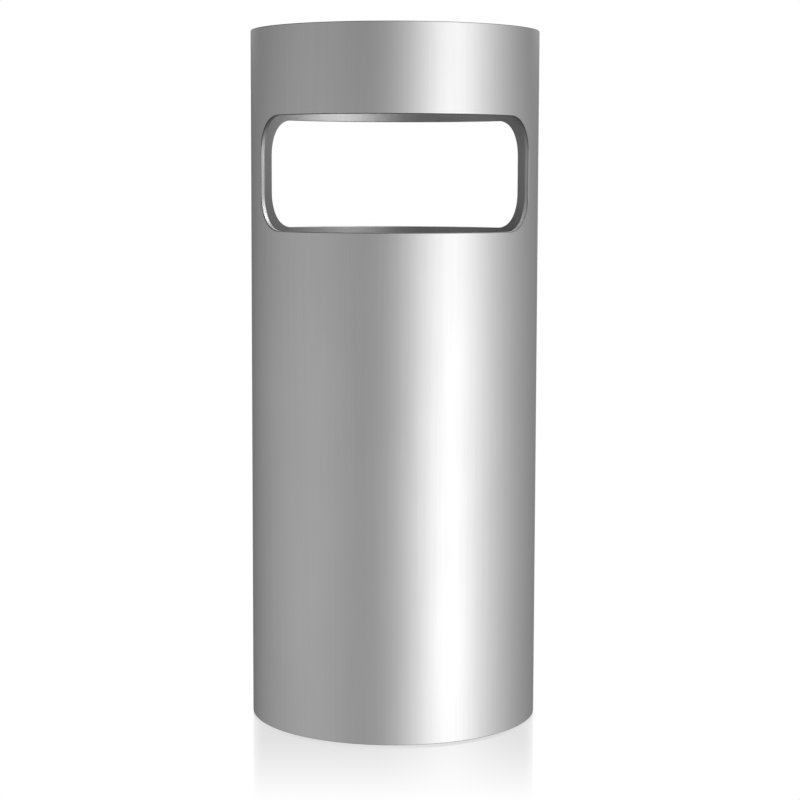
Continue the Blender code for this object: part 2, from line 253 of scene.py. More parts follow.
def brushed_aluminium():
    """The tube's outside, brushed along its axis, its dull cut faces, and painted shade: a near-black
    line on their rounded edges.
    """
    metal = Surface("brushed_aluminium", (0.70, 0.70, 0.70), 0.33, 1.0)
    outside = metal.spread(
        metal.radius, TUBE_RADIUS - TUBE_ROUNDING / 2, TUBE_RADIUS - SKIN_DEPTH
    )
    outside = metal.math("MULTIPLY", outside, metal.upright())
    # painted shade: the rounded cut edges are coloured near black (0.13), a dark line standing in for
    # shade along every cut edge of the tube
    painted_shade_edge = metal.spread(
        metal.radius, TUBE_RADIUS - 1.4 * TUBE_ROUNDING, TUBE_RADIUS - TUBE_ROUNDING
    )
    # near the floor, below 5 to 10 mm, the painted shade is left off and the rounded edge takes the
    # cut's colour
    painted_shade_edge = metal.math("MULTIPLY", painted_shade_edge, metal.spread(metal.z, 0.005, 0.010))
    tone, normal = brushed_tone(metal)
    milling = metal.noise(0.0005, (6.0, 6.0, 1.0), 2.0)
    skin = metal.mix(metal.spread(tone, 0.35, 0.75), (0.67, 0.67, 0.67), (0.73, 0.73, 0.73))
    cut = metal.mix(milling, (0.50, 0.50, 0.50), (0.60, 0.60, 0.60))
    # painted shade on the rounded edges, the cut's own colour on its flat faces, the brushed skin
    # outside
    colour = metal.mix(outside, metal.mix(painted_shade_edge, cut, (0.13, 0.13, 0.13)), skin)
    smooth = metal.math("MULTIPLY", outside, metal.spread(tone, 0.35, 0.75, 0.35, 0.31))
    edge = metal.math("SUBTRACT", 1.0, outside)
    dull = metal.math("MULTIPLY", edge, metal.spread(milling, 0.3, 0.7, 0.56, 0.66))
    return metal.finish(colour, metal.math("ADD", smooth, dull), normal)


def inner_aluminium():
    """The tube's inside, ground round its bore, so that it mirrors more up and down; its darker colour
    is painted shade.
    """
    metal = Surface("inner_aluminium", (0.51, 0.51, 0.51), 0.34, 1.0)
    metal.shader.inputs["Anisotropic"].default_value = 0.7
    metal.shader.inputs["Anisotropic Rotation"].default_value = 0.25
    tangent = metal.add("ShaderNodeTangent")
    tangent.direction_type = "RADIAL"
    tangent.axis = "Z"
    metal.link(tangent.outputs[0], metal.shader.inputs["Tangent"])
    tone, normal = brushed_tone(metal)
    # painted shade: the inside is coloured 0.45 to 0.51, darker than the outside's 0.67 to 0.73
    colour = metal.mix(metal.spread(tone, 0.35, 0.75), (0.45, 0.45, 0.45), (0.51, 0.51, 0.51))
    return metal.finish(colour, metal.spread(tone, 0.35, 0.75, 0.60, 0.56), normal)


def zinc_steel():
    """Rolled sheet with a blue-white zinc plating, stained in patches."""
    metal = Surface("zinc_steel", (0.50, 0.51, 0.53), 0.42, 1.0)
    rolling = metal.noise(0.0004, (40.0, 1.0, 1.0), 3.0)
    stain = metal.noise(0.018, detail=4.0, rough=0.6)
    grain = metal.noise(0.0012, detail=3.0)
    plating = metal.mix(metal.spread(stain, 0.35, 0.65), (0.46, 0.475, 0.50), (0.54, 0.54, 0.525))
    colour = metal.mix(metal.spread(rolling, 0.5, 0.8, 0.0, 0.35), plating, (0.62, 0.63, 0.64))
    rough = metal.spread(metal.math("ADD", stain, grain), 0.7, 1.3, 0.34, 0.52)
    normal = metal.bump(rolling, 0.000008)
    normal = metal.bump(grain, 0.00002, 0.8, normal)
    return metal.finish(colour, rough, normal)


def screw_steel():
    """Plain stainless steel, turned, with dull spots."""
    metal = Surface("screw_steel", (0.60, 0.60, 0.61), 0.30, 1.0)
    turning = metal.noise(0.00025, (8.0, 8.0, 1.0), 2.0)
    spots = metal.noise(0.0015, detail=3.0)
    colour = metal.mix(metal.spread(spots, 0.4, 0.7), (0.64, 0.64, 0.65), (0.48, 0.47, 0.46))
    colour = metal.mix(metal.math("MULTIPLY", metal.edges(), 0.6), colour, (0.78, 0.78, 0.78))
    rough = metal.spread(spots, 0.35, 0.7, 0.24, 0.42)
    return metal.finish(colour, rough, metal.bump(turning, 0.00001))


def cast_iron():
    """Sand-cast iron under thin black paint, rubbed to grey on its edges."""
    iron = Surface("cast_iron", (0.06, 0.06, 0.065), 0.6, 0.0)
    iron.shader.inputs["Specular IOR Level"].default_value = 0.45
    sand = iron.noise(0.0011, detail=4.0, rough=0.6)
    lumps = iron.noise(0.009, detail=3.0)
    pits = iron.spread(iron.cells(0.0045), 0.0, 0.22, 1.0, 0.0)
    colour = iron.mix(iron.spread(lumps, 0.3, 0.7), (0.045, 0.045, 0.048), (0.085, 0.083, 0.082))
    wear = iron.math("MULTIPLY", iron.edges(), iron.spread(sand, 0.4, 0.6))
    colour = iron.mix(iron.math("MULTIPLY", wear, 0.8), colour, (0.24, 0.23, 0.225))
    rough = iron.spread(sand, 0.3, 0.7, 0.46, 0.68)
    normal = iron.bump(sand, 0.0002, 0.7)
    normal = iron.bump(iron.math("SUBTRACT", lumps, pits), 0.0003, 0.6, normal)
    return iron.finish(colour, rough, normal)


def foot_rubber():
    """Black moulded rubber, greyer where it stands on the floor."""
    rubber = Surface("foot_rubber", (0.025, 0.025, 0.026), 0.72)
    rubber.shader.inputs["Specular IOR Level"].default_value = 0.35
    grain = rubber.noise(0.0004, detail=3.0)
    bloom = rubber.noise(0.004, detail=4.0, rough=0.6)
    worn = rubber.spread(rubber.z, 0.0, 0.0012, 0.8, 0.0)
    colour = rubber.mix(rubber.spread(bloom, 0.4, 0.7), (0.020, 0.020, 0.021), (0.042, 0.041, 0.040))
    colour = rubber.mix(rubber.math("MULTIPLY", worn, bloom), colour, (0.12, 0.115, 0.11))
    rough = rubber.spread(bloom, 0.35, 0.7, 0.62, 0.82)
    return rubber.finish(colour, rough, rubber.bump(grain, 0.00006, 0.6))


def tray_plastic():
    """Dark moulded plastic with a fine spark-eroded grain and light rubbing marks."""
    plastic = Surface("tray_plastic", (0.05, 0.05, 0.052), 0.45)
    grain = plastic.cells(0.00075, 0.6)
    flow = plastic.noise(0.03, (1.0, 1.0, 0.6), 3.0)
    scuffs = plastic.noise(0.0012, (14.0, 1.0, 1.0), 3.0)
    rubbed = plastic.spread(scuffs, 0.62, 0.75)
    dried = plastic.spread(plastic.noise(0.007, detail=4.0, rough=0.65), 0.52, 0.68)
    colour = plastic.mix(plastic.spread(flow, 0.3, 0.7), (0.046, 0.047, 0.050), (0.060, 0.060, 0.061))
    colour = plastic.mix(plastic.math("MULTIPLY", rubbed, 0.35), colour, (0.11, 0.11, 0.11))
    colour = plastic.mix(plastic.math("MULTIPLY", dried, 0.16), colour, (0.17, 0.165, 0.16))
    colour = plastic.mix(plastic.math("MULTIPLY", plastic.edges(), 0.4), colour, (0.13, 0.13, 0.13))
    patches = plastic.math("ADD", flow, plastic.math("MULTIPLY", dried, 0.5))
    rough = plastic.spread(patches, 0.3, 0.9, 0.40, 0.58)
    return plastic.finish(colour, rough, plastic.bump(grain, 0.00008, 0.5))


def mat_rubber():
    """Matt rubber, dustier in the grooves and polished on top of the ribs."""
    rubber = Surface("mat_rubber", (0.04, 0.04, 0.042), 0.78)
    rubber.shader.inputs["Specular IOR Level"].default_value = 0.35
    grain = rubber.noise(0.0005, detail=4.0, rough=0.6)
    bloom = rubber.noise(0.012, detail=4.0, rough=0.6)
    groove = rubber.spread(rubber.z, mat_high.z - 0.0014, mat_high.z - 0.0004, 1.0, 0.0)
    dust = rubber.math("MULTIPLY", groove, rubber.spread(bloom, 0.35, 0.7, 0.18, 0.30))
    colour = rubber.mix(rubber.spread(bloom, 0.35, 0.65), (0.032, 0.032, 0.034), (0.050, 0.050, 0.051))
    colour = rubber.mix(dust, colour, (0.13, 0.125, 0.115))
    rough = rubber.spread(groove, 0.0, 1.0, 0.60, 0.85)
    return rubber.finish(colour, rough, rubber.bump(grain, 0.0001, 0.6))


# --------------------------------------------------------------------------------------
# Mesh helpers
# --------------------------------------------------------------------------------------
LONGEST_RUN = 0.008        # a straight stretch of an outline is divided above this
ARC_STEP = 15.0            # degrees between the points of a rounded corner
DRILL_MARGIN = 0.001       # how far a drill reaches past the faces it opens
DRILL_STEPS = 32


def arc_points(before, corner, after, radius):
    """Points of the arc that rounds one corner between its two neighbours."""
    point = Vector(corner)
    back = (Vector(before) - point).normalized()
    ahead = (Vector(after) - point).normalized()
    half = back.angle(ahead) / 2
    centre = point + (back + ahead).normalized() * (radius / math.sin(half))
    first = point + back * (radius / math.tan(half)) - centre
    last = point + ahead * (radius / math.tan(half)) - centre
    start = math.atan2(first.y, first.x)
    turn = (math.atan2(last.y, last.x) - start + math.pi) % math.tau - math.pi
    steps = max(2, math.ceil(abs(math.degrees(turn)) / ARC_STEP))
    points = []
    for step in range(steps + 1):
        angle = start + turn * step / steps
        points.append((centre.x + radius * math.cos(angle), centre.y + radius * math.sin(angle)))
    return points


def rounded(outline, closed=False):
    """(x, y) points from (x, y, corner radius) ones, with long straight runs divided."""
    corners = []
    count = len(outline)
    for i, (x, y, radius) in enumerate(outline):
        if radius == 0.0:
            corners.append((x, y))
        else:
            before = outline[i - 1][:2]
            after = outline[(i + 1) % count][:2]
            corners += arc_points(before, (x, y), after, radius)
    points = []
    ends = corners[1:] + corners[:1] if closed else corners[1:]
    for (x0, y0), (x1, y1) in zip(corners, ends):
        pieces = max(1, math.ceil(math.hypot(x1 - x0, y1 - y0) / LONGEST_RUN))
        for piece in range(pieces):
            share = piece / pieces
            points.append((x0 + (x1 - x0) * share, y0 + (y1 - y0) * share))
    if not closed:
        points.append(corners[-1])
    return points


def ring(radius, height, steps):
    """A level ring of points, or a single point when the radius is 0."""
    if radius == 0.0:
        return [(0.0, 0.0, height)]
    turns = [math.tau * step / steps for step in range(steps)]
    return [(radius * math.cos(turn), radius * math.sin(turn), height) for turn in turns]


def ring_mesh(name, rings, closed=False):
    """A closed mesh through rings of equally many points, or single points at its ends."""
    build = bmesh.new()
    rows = [[build.verts.new(point) for point in points] for points in rings]
    pairs = list(zip(rows, rows[1:]))
    if closed:
        pairs.append((rows[-1], rows[0]))
    for upper, lower in pairs:
        steps = max(len(upper), len(lower))
        for i in range(steps):
            j = (i + 1) % steps
            if len(upper) == 1:
                build.faces.new((upper[0], lower[i], lower[j]))
            elif len(lower) == 1:
                build.faces.new((upper[i], lower[0], upper[j]))
            else:
                build.faces.new((upper[i], lower[i], lower[j], upper[j]))
    bmesh.ops.recalc_face_normals(build, faces=build.faces)
    mesh = bpy.data.meshes.new(name)
    build.to_mesh(mesh)
    build.free()
    return mesh


def turned_mesh(name, points, steps, closed=False):
    """(radius, height) points turned about Z."""
    return ring_mesh(name, [ring(radius, height, steps) for radius, height in points], closed)


def add_piece(name, mesh, material, body, node, sharp=40.0):
    """Put a mesh in the scene in place of a CAD node."""
    piece = bpy.data.objects.new(name, mesh)
    bpy.context.scene.collection.objects.link(piece)
    mesh.materials.append(material)
    mesh.shade_smooth()
    if sharp is not None:
        mesh.set_sharp_from_angle(angle=math.radians(sharp))
    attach(piece, body)
    if node is not None:
        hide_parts(node)
    return piece


def placed(mesh, x, y, z, degrees):
    """A copy of a mesh, turned about Z and moved."""
    copy = mesh.copy()
    turn = Matrix.Rotation(math.radians(degrees), 4, "Z")
    copy.transform(Matrix.Translation((x, y, z)) @ turn)
    return copy


def on_circle(radius, degrees):
    angle = math.radians(degrees)
    return radius * math.cos(angle), radius * math.sin(angle)


def bored(mesh, holes):
    """The mesh with round upright holes: (x, y, radius, bottom, top), applied."""
    scene = bpy.context.scene
    work = bpy.data.objects.new("work", mesh)
    scene.collection.objects.link(work)
    cutters = []
    for x, y, radius, bottom, top in holes:
        side = [(0.0, top), (radius, top), (radius, bottom), (0.0, bottom)]
        drill = turned_mesh("drill", side, DRILL_STEPS)
        drill.transform(Matrix.Translation((x, y, 0.0)))
        cutter = bpy.data.objects.new("drill", drill)
        scene.collection.objects.link(cutter)
        cutters.append(cutter)
        boolean = work.modifiers.new("hole", "BOOLEAN")
        boolean.object = cutter
    graph = bpy.context.evaluated_depsgraph_get()
    result = bpy.data.meshes.new_from_object(work.evaluated_get(graph))
    result.name = mesh.name
    for obj in [work, *cutters]:
        old = obj.data
        bpy.data.objects.remove(obj)
        bpy.data.meshes.remove(old)
    return result


# --------------------------------------------------------------------------------------
# The tube
# --------------------------------------------------------------------------------------
COLUMNS = 96               # facets in half a turn
SIDE_ROWS = 24             # facets up the window's side
RINGS = 12                 # rings of quads round a window, narrower towards its edge
BAND_MARGIN = 0.020        # height of the ring mesh above and below the window
LEVELS_BELOW = 12
LEVELS_ABOVE = 4
JOIN_DISTANCE = 0.000001   # points of two strips that are closer than this are joined
SKIN_FACING = 0.98         # faces that point at the axis, or away from it, by this cosine


def window_side(reach, count):
    """One side of the window seen from its middle: (along, inward) points, left to right.

    The side starts and ends halfway round its two corners. reach is half its length.
    """
    eighth = math.radians(45) * WINDOW_CORNER
    length = 2 * (reach - WINDOW_CORNER) + 2 * eighth
    points = []
    for step in range(count):
        along = step / count * length
        if eighth <= along <= length - eighth:
            points.append((along - length / 2, 0.0))
            continue
        left = along < eighth
        beyond = eighth - along if left else along - length + eighth
        turn = beyond / WINDOW_CORNER
        x = reach - WINDOW_CORNER * (1 - math.sin(turn))
        points.append((-x if left else x, WINDOW_CORNER * (1 - math.cos(turn))))
    return points


def window_outline():
    """The window's edge as (arc, height) points, anticlockwise from its lower left."""
    half_width = math.radians(WINDOW_ANGLE) * TUBE_RADIUS / 2
    half_height = WINDOW_HEIGHT / 2
    across = window_side(half_width, COLUMNS)
    upright = window_side(half_height, SIDE_ROWS)
    outline = [(x, inward - half_height) for x, inward in across]
    outline += [(half_width - inward, x) for x, inward in upright]
    outline += [(-x, half_height - inward) for x, inward in across]
    outline += [(inward - half_width, -x) for x, inward in upright]
    return outline


def band_outline():
    """The rectangle round a window that the ring mesh ends on, point for point."""
    half_width = math.radians(90) * TUBE_RADIUS
    half_height = WINDOW_HEIGHT / 2 + BAND_MARGIN
    across = [half_width * (2 * i / COLUMNS - 1) for i in range(COLUMNS)]
    upright = [half_height * (2 * i / SIDE_ROWS - 1) for i in range(SIDE_ROWS)]
    outline = [(x, -half_height) for x in across]
    outline += [(half_width, z) for z in upright]
    outline += [(-x, half_height) for x in across]
    outline += [(-half_width, -z) for z in upright]
    return outline


def add_window_band(sheet, shift, middle):
    """Quads in rings from a window's edge out to the rectangle round it."""
    rings = []
    for step in range(RINGS + 1):
        share = (step / RINGS) ** 1.4
        points = []
        for (x0, z0), (x1, z1) in zip(window_outline(), band_outline()):
            x = x0 + (x1 - x0) * share + shift
            z = z0 + (z1 - z0) * share + middle
            points.append(sheet.verts.new((x, 0.0, z)))
        rings.append(points)
    for near, far in zip(rings, rings[1:]):
        for i in range(len(near)):
            j = (i + 1) % len(near)
            sheet.faces.new((near[i], far[i], far[j], near[j]))


def add_plain_band(sheet, shift, low, high, levels):
    """Quads in level rows over half a turn of the tube."""
    half_turn = math.radians(180) * TUBE_RADIUS
    rows = []
    for level in range(levels + 1):
        z = low + (high - low) * level / levels
        columns = [shift + half_turn * (column / COLUMNS - 0.5) for column in range(COLUMNS + 1)]
        rows.append([sheet.verts.new((x, 0.0, z)) for x in columns])
    for lower, upper in zip(rows, rows[1:]):
        for i in range(COLUMNS):
            sheet.faces.new((lower[i], lower[i + 1], upper[i + 1], upper[i]))


def tube_sheet():
    """The tube's wall unrolled: flat quads in (arc, height), without thickness."""
    sheet = bmesh.new()
    middle = (WINDOW_TOP + WINDOW_BOTTOM) / 2
    band = WINDOW_HEIGHT / 2 + BAND_MARGIN
    for half in (0, 1):
        shift = half * math.radians(180) * TUBE_RADIUS
        add_window_band(sheet, shift, middle)
        add_plain_band(sheet, shift, tube_low.z, middle - band, LEVELS_BELOW)
        add_plain_band(sheet, shift, middle + band, tube_high.z, LEVELS_ABOVE)
    bmesh.ops.remove_doubles(sheet, verts=sheet.verts, dist=JOIN_DISTANCE)
    return sheet


def rolled(sheet, radius):
    """A copy of the flat sheet bent round Z at a radius, its ends welded."""
    copy = sheet.copy()
    for vertex in copy.verts:
        angle = vertex.co.x / TUBE_RADIUS
        vertex.co = (radius * math.sin(angle), -radius * math.cos(angle), vertex.co.z)
    bmesh.ops.remove_doubles(copy, verts=copy.verts, dist=JOIN_DISTANCE)
    copy.verts.index_update()
    return copy


def make_tube():
    """Outer and inner skins, joined along their open edges, with all edges rounded."""
    sheet = tube_sheet()
    outer = rolled(sheet, TUBE_RADIUS)
    inner = rolled(sheet, INNER_RADIUS)
    sheet.free()
    count = len(outer.verts)
    vertices = [vertex.co[:] for vertex in outer.verts] + [vertex.co[:] for vertex in inner.verts]
    faces = []
    for face in outer.faces:
        faces.append([vertex.index for vertex in face.verts])
    skin = len(faces)
    faces += [[corner + count for corner in reversed(corners)] for corners in faces]
    for edge in outer.edges:
        if edge.is_boundary:
            loop = edge.link_loops[0]
            a = loop.vert.index
            b = loop.link_loop_next.vert.index
            faces.append([b, a, a + count, b + count])
    mesh = bpy.data.meshes.new("tube_shell")
    mesh.from_pydata(vertices, [], faces)
    for polygon in mesh.polygons[skin:2 * skin]:
        polygon.material_index = 1
    outer.free()
    inner.free()
    tube = add_piece(
        "tube_shell", mesh, brushed_aluminium(), "stand", "outer_tube", None
    )
    mesh.materials.append(inner_aluminium())
    round_edges(tube, TUBE_ROUNDING, 3)
    smooth_round(tube)


def round_edges(piece, width, segments):
    """Round a piece's sharp edges with a Bevel that leaves its faces looking flat."""
    bevel = piece.modifiers.new("edges", "BEVEL")
    bevel.width = width
    bevel.segments = segments
    bevel.limit_method = "ANGLE"
    bevel.angle_limit = math.radians(45)
    bevel.harden_normals = True


def smooth_round(tube):
    """Apply the tube's modifiers and point the normals of its two skins straight at its axis."""
    graph = bpy.context.evaluated_depsgraph_get()
    mesh = bpy.data.meshes.new_from_object(tube.evaluated_get(graph))
    tube.modifiers.clear()
    tube.data = mesh
    normals = [Vector(corner.vector) for corner in mesh.corner_normals]
    for polygon in mesh.polygons:
        for loop in polygon.loop_indices:
            place = mesh.vertices[mesh.loops[loop].vertex_index].co
            outward = Vector((place.x, place.y, 0.0)).normalized()
            facing = polygon.normal.dot(outward)
            if abs(facing) > SKIN_FACING:
                normals[loop] = outward if facing > 0 else -outward
    mesh.normals_split_custom_set(normals)


# --------------------------------------------------------------------------------------
# Screws
# --------------------------------------------------------------------------------------
SCREW_STEPS = 24           # points round a screw, four to each side of its socket
THREAD_DEPTH_SHARE = 0.55  # of the pitch
THREAD_ROWS = 6            # rows of points to one turn of the thread
CROWN_SHARE = 0.7          # flat top of a head, of its radius
SOCKET_DEPTH_SHARE = 0.6   # of the head's height
SOCKET_LAND = 0.0004       # from the socket's corners to where its chamfer starts
SOCKET_CHAMFER = 0.00015
SOCKET_CONE = 0.0003       # depth of the cone that the drill left in a socket


def hexagon(across_corners, height):
    """A hexagon with as many points as a ring of the screw."""
    flat = across_corners / 2 * math.cos(math.radians(30))
    points = []
    for x, y, z in ring(1.0, height, SCREW_STEPS):
        turn = math.atan2(y, x) % math.radians(60) - math.radians(30)
        reach = flat / math.cos(turn)
        points.append((x * reach, y * reach, z))
    return points


def thread_rings(shank, pitch, top, bottom):
    """Rings up a shank whose radius follows a screw thread."""
    depth = THREAD_DEPTH_SHARE * pitch
    rows = math.ceil((top - bottom) / pitch * THREAD_ROWS)
    rings = []
    for row in range(rows + 1):
        z = top + (bottom - top) * row / rows
        points = []
        for step, (x, y, _) in enumerate(ring(1.0, z, SCREW_STEPS)):
            phase = (z / pitch + step / SCREW_STEPS) % 1.0
            valley = 1 - abs(2 * phase - 1)
            reach = shank - depth * valley
            points.append((x * reach, y * reach, z))
        rings.append(points)
    return rings


def screw_mesh(name, size, length):
    """A hexagon-socket screw, point up, with its head's bearing face at height 0."""
    shank, head, height = size["shank"], size["head"], size["height"]
    depth = THREAD_DEPTH_SHARE * size["pitch"]
    neck = size["pitch"] / 2
    rings = [ring(0.0, length, SCREW_STEPS), ring(shank - depth, length, SCREW_STEPS)]
    rings += thread_rings(shank, size["pitch"], length - depth, neck)
    rings.append(ring(shank - depth / 2, 0.0, SCREW_STEPS))
    crown = CROWN_SHARE * head
    side = [
        (shank, 0.0, 0.0),
        (head, 0.0, SOCKET_CHAMFER),
        (head, -height / 2, height / 3),
        (crown, -height, height / 4),
        (size["socket"] / 2 + SOCKET_LAND, -height, 0.0),
    ]
    rings += [ring(radius, z, SCREW_STEPS) for radius, z in rounded(side)[1:]]
    floor = SOCKET_DEPTH_SHARE * height - height
    rings.append(hexagon(size["socket"] + 2 * SOCKET_CHAMFER, -height))
    rings.append(hexagon(size["socket"], -height + SOCKET_CHAMFER))
    rings.append(hexagon(size["socket"], floor))
    rings.append(ring(0.0, floor + SOCKET_CONE, SCREW_STEPS))
    return ring_mesh(name, rings)


def make_screws():
    steel = screw_steel()
    sets = (
        ("lug_screw", LUG_SCREW, lug_screw_low, lug_screw_high, LUG_SCREW_CIRCLE, LUG_ANGLES),
        ("foot_screw", FOOT_SCREW, foot_screw_low, foot_screw_high, FOOT_CIRCLE, FOOT_ANGLES),
    )
    for name, size, low, high, circle, angles in sets:
        bearing = low.z + size["height"]
        mesh = screw_mesh(name, size, high.z - bearing)
        for number, degrees in enumerate(angles, start=1):
            x, y = on_circle(circle, degrees)
            # each socket stops at its own angle, as tightened screws do
            own = placed(mesh, x, y, bearing, degrees + 17 * number)
            add_piece(f"{name}_fine_{number}", own, steel, "stand", f"{name}_{number}")
    bearing = bolt_low.z + BALLAST_BOLT["height"]
    mesh = screw_mesh("ballast_bolt", BALLAST_BOLT, bolt_high.z - bearing)
    own = placed(mesh, 0.0, 0.0, bearing, 11)
    add_piece("ballast_bolt_fine", own, steel, "stand", "ballast_bolt")


# --------------------------------------------------------------------------------------
# The base: plate, lugs, ballast and feet
# --------------------------------------------------------------------------------------
ROUND_STEPS = 144          # points round the plate, the ballast, the tray and the mat
FOOT_STEPS = 48
WELD_RIPPLES = 12
RIPPLE_ROWS = 6            # rows of points to one ripple
RIPPLE_SHARE = 0.08        # height of a ripple, of the weld's radius
WELD_END_ROWS = 5          # rows over which a weld's end rounds off
WELD_STEPS = 16
SLIVER = 0.00001           # edges of the lug that lie closer to a face than this are on it


def make_base_plate(zinc):
    """A disc with rounded edges, bored for the bolt, the lug screws and the foot screws."""
    radius = plate_high.x
    outline = [
        (0.0, plate_high.z, 0.0),
        (radius, plate_high.z, PLATE_ROUNDING),
        (radius, plate_low.z, PLATE_ROUNDING),
        (0.0, plate_low.z, 0.0),
    ]
    mesh = turned_mesh("base_plate", rounded(outline), ROUND_STEPS)
    bottom, top = plate_low.z - DRILL_MARGIN, plate_high.z + DRILL_MARGIN
    holes = [(0.0, 0.0, BALLAST_BOLT["shank"] + HOLE_SPARE, bottom, top)]
    for circle, size, angles in (
        (LUG_SCREW_CIRCLE, LUG_SCREW, LUG_ANGLES),
        (FOOT_CIRCLE, FOOT_SCREW, FOOT_ANGLES),
    ):
        for degrees in angles:
            x, y = on_circle(circle, degrees)
            holes.append((x, y, size["shank"] + HOLE_SPARE, bottom, top))
    add_piece("base_disc", bored(mesh, holes), zinc, "stand", "base_plate")


def lug_mesh():
    """An angle bracket bent from sheet, its outer face at x = 0 and its foot at z = 0."""
    thick = LUG_THICKNESS
    height = lug_high.z - lug_low.z
    depth = lug_high.x - lug_low.x
    half = (lug_high.y - lug_low.y) / 2
    outline = [
        (0.0, 0.0, thick + LUG_BEND),
        (0.0, height, 0.0),
        (-thick, height, 0.0),
        (-thick, thick, LUG_BEND),
        (-depth, thick, 0.0),
        (-depth, 0.0, 0.0),
    ]
    build = bmesh.new()
    points = rounded(outline, closed=True)
    sides = [[build.verts.new((x, y, z)) for x, z in points] for y in (-half, half)]
    build.faces.new(sides[0])
    build.faces.new(list(reversed(sides[1])))
    for i in range(len(points)):
        j = (i + 1) % len(points)
        build.faces.new((sides[0][j], sides[0][i], sides[1][i], sides[1][j]))
    bmesh.ops.recalc_face_normals(build, faces=build.faces)
    ends = []
    for edge in build.edges:
        a, b = (vertex.co for vertex in edge.verts)
        across_sheet = abs(a.y - b.y) < SLIVER
        at_top = min(a.z, b.z) > height - SLIVER
        at_tip = max(a.x, b.x) < -depth + SLIVER
        if across_sheet and (at_top or at_tip):
            ends.append(edge)
    bmesh.ops.bevel(build, geom=ends, offset=LUG_CORNER, segments=6, profile=0.5, affect="EDGES")
    mesh = bpy.data.meshes.new("base_lug")
    build.to_mesh(mesh)
    build.free()
    radius = LUG_SCREW["shank"] + HOLE_SPARE
    return bored(mesh, [(-LUG_SCREW_INSET, 0.0, radius, -DRILL_MARGIN, thick + DRILL_MARGIN)])


def weld_mesh():
    """Two rippled beads up the sides of a lug's upright leg, where it meets the tube."""
    half = (lug_high.y - lug_low.y) / 2
    height = lug_high.z - lug_low.z
    low, high = LUG_THICKNESS + WELD_END, height - LUG_CORNER - WELD_END
    rows = WELD_RIPPLES * RIPPLE_ROWS
    beads = bmesh.new()
    for side in (-1, 1):
        rings = []
        for row in range(rows + 1):
            z = low + (high - low) * row / rows
            end = min(row, rows - row) / WELD_END_ROWS
            swell = math.sqrt(max(0.0, 1 - (1 - min(1.0, end)) ** 2))
            ripple = 1 + RIPPLE_SHARE * math.sin(math.tau * row / RIPPLE_ROWS)
            reach = WELD_RADIUS * swell * ripple
            if reach == 0.0:
                rings.append([(0.0, 0.0, z)])
            else:
                rings.append(ring(reach, z, WELD_STEPS))
        bead = ring_mesh("bead", rings)
        bead.transform(Matrix.Translation((-WELD_INSIDE, side * (half + WELD_BESIDE), 0.0)))
        beads.from_mesh(bead)
        bpy.data.meshes.remove(bead)
    mesh = bpy.data.meshes.new("lug_weld")
    beads.to_mesh(mesh)
    beads.free()
    return mesh


def make_lugs(zinc):
    """Four lugs, each with the two welds that hold it to the tube."""
    lug = lug_mesh()
    weld = weld_mesh()
    for number, degrees in enumerate(LUG_ANGLES, start=1):
        x, y = on_circle(lug_high.x, degrees)
        own = placed(lug, x, y, lug_low.z, degrees)
        piece = add_piece(
            f"base_lug_fine_{number}", own, zinc, "stand", f"base_lug_{number}", None
        )
        round_edges(piece, LUG_ROUNDING, 2)
        beads = placed(weld, x, y, lug_low.z, degrees)
        add_piece(f"lug_weld_{number}", beads, zinc, "stand", None)


def make_ballast():
    """A cast disc with well-rounded edges and a blind hole for its bolt."""
    radius = disc_high.x
    outline = [
        (0.0, disc_high.z, 0.0),
        (radius, disc_high.z, BALLAST_ROUNDING),
        (radius, disc_low.z, BALLAST_ROUNDING),
        (0.0, disc_low.z, 0.0),
    ]
    mesh = turned_mesh("ballast", rounded(outline), ROUND_STEPS)
    bottom, top = disc_low.z - DRILL_MARGIN, bolt_high.z + BALLAST_HOLE_SPARE
    casting = bored(mesh, [(0.0, 0.0, BALLAST_BOLT["shank"] + HOLE_SPARE, bottom, top)])
    add_piece("ballast_casting", casting, cast_iron(), "stand", "ballast_disc")


def make_feet():
    """Rubber feet: each a ring with a recess below for its screw's head."""
    rubber = foot_rubber()
    top = foot_high.z
    shelf = top - FOOT_WEB
    recess = FOOT_SCREW["head"] + 2 * HOLE_SPARE
    hole = FOOT_SCREW["shank"] + HOLE_SPARE
    outline = [
        (FOOT_RADIUS, top, 0.0004),
        (FOOT_RADIUS, 0.0, 0.0015),
        (recess, 0.0, 0.0006),
        (recess, shelf, 0.0002),
        (hole, shelf, 0.0002),
        (hole, top, 0.0002),
    ]
    mesh = turned_mesh("rubber_foot", rounded(outline, closed=True), FOOT_STEPS, closed=True)
    for number, degrees in enumerate(FOOT_ANGLES, start=1):
        x, y = on_circle(FOOT_CIRCLE, degrees)
        own = placed(mesh, x, y, 0.0, degrees)
        name = f"rubber_foot_{number}"
        add_piece(f"rubber_foot_fine_{number}", own, rubber, "stand", name, 60.0)


# --------------------------------------------------------------------------------------
# The loose pieces: drip tray and mat
# --------------------------------------------------------------------------------------
def make_tray():
    """A shallow cup with a rounded flange; its floor and wall are one thickness."""
    height = tray_high.z - tray_low.z
    flange = tray_high.x
    wall = TRAY_WALL
    rim = lug_high.x - LUG_THICKNESS - TRAY_GAP
    foot = rim - TRAY_DRAFT
    outline = [
        (0.0, wall, 0.0),
        (foot - wall, wall, TRAY_CORNER - wall / 2),
        (rim - wall, height, FLANGE_BEND),
        (flange, height, FLANGE_ROUNDING),
        (flange, height - FLANGE_THICKNESS, FLANGE_ROUNDING),
        (rim, height - FLANGE_THICKNESS, FLANGE_BEND),
        (foot, 0.0, TRAY_CORNER),
        (0.0, 0.0, 0.0),
    ]
    points = [(radius, z + tray_low.z) for radius, z in rounded(outline)]
    mesh = turned_mesh("drip_tray", points, ROUND_STEPS)
    add_piece("drip_tray_fine", mesh, tray_plastic(), "tray", "drip_tray", 60.0)


